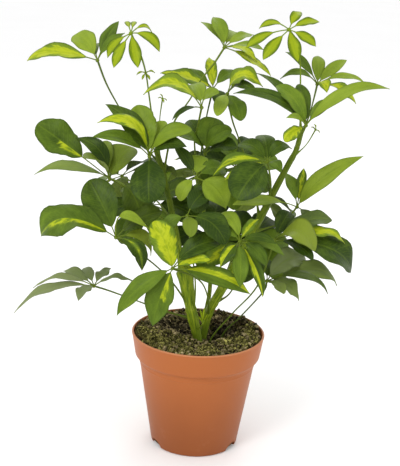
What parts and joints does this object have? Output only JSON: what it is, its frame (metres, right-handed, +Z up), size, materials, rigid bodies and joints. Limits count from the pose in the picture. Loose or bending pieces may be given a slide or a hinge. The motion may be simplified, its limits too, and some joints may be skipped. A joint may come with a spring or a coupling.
{
  "type": "potted umbrella plant",
  "caption": "Variegated dwarf umbrella plant with arching compound leaves on green stems, growing in a tapered terracotta-coloured plastic nursery pot.",
  "frame": {"origin": "centre of the pot's flat underside, on the surface it stands on", "axes": "+Z up along the pot's axis; the side seen in the picture faces -Y, and +X is to the right there"},
  "size_m": [0.3112, 0.214, 0.3925],
  "materials": {
    "pot": "satin",
    "soil": "rough",
    "stem": "satin",
    "leaf": "glossy",
    "young_leaf": "glossy"
  },
  "bodies": {
    "root": {"pot": "pot", "soil": "soil", "stem_left": "stem", "stem_right": "stem", "stem_back": "stem", "leaf_back_left": "leaf", "leaf_back_low": "leaf", "leaf_back_middle": "leaf", "leaf_back_right": "leaf", "leaf_centre": "leaf", "leaf_centre_low": "leaf", "leaf_far_left": "leaf", "leaf_far_middle": "leaf", "leaf_far_right": "leaf", "leaf_far_top_left": "leaf", "leaf_front": "leaf", "leaf_front_right": "leaf", "leaf_left": "leaf", "leaf_left_crown": "leaf", "leaf_left_low": "leaf", "leaf_lower_right": "leaf", "leaf_lowest_left": "leaf", "leaf_lowest_right": "leaf", "leaf_middle": "leaf", "leaf_middle_top_back": "leaf", "leaf_middle_top_front": "leaf", "leaf_middle_top_right": "leaf", "leaf_right": "leaf", "leaf_right_crown": "leaf", "leaf_top": "leaf", "leaf_upper_left": "leaf", "leaf_upper_right": "leaf", "leaf_upper_right_back": "leaf", "leaf_young_left": "young_leaf", "leaf_young_right": "young_leaf", "shoot_left": "young_leaf", "shoot_low": "young_leaf", "shoot_right": "young_leaf"}
  },
  "joints": []
}
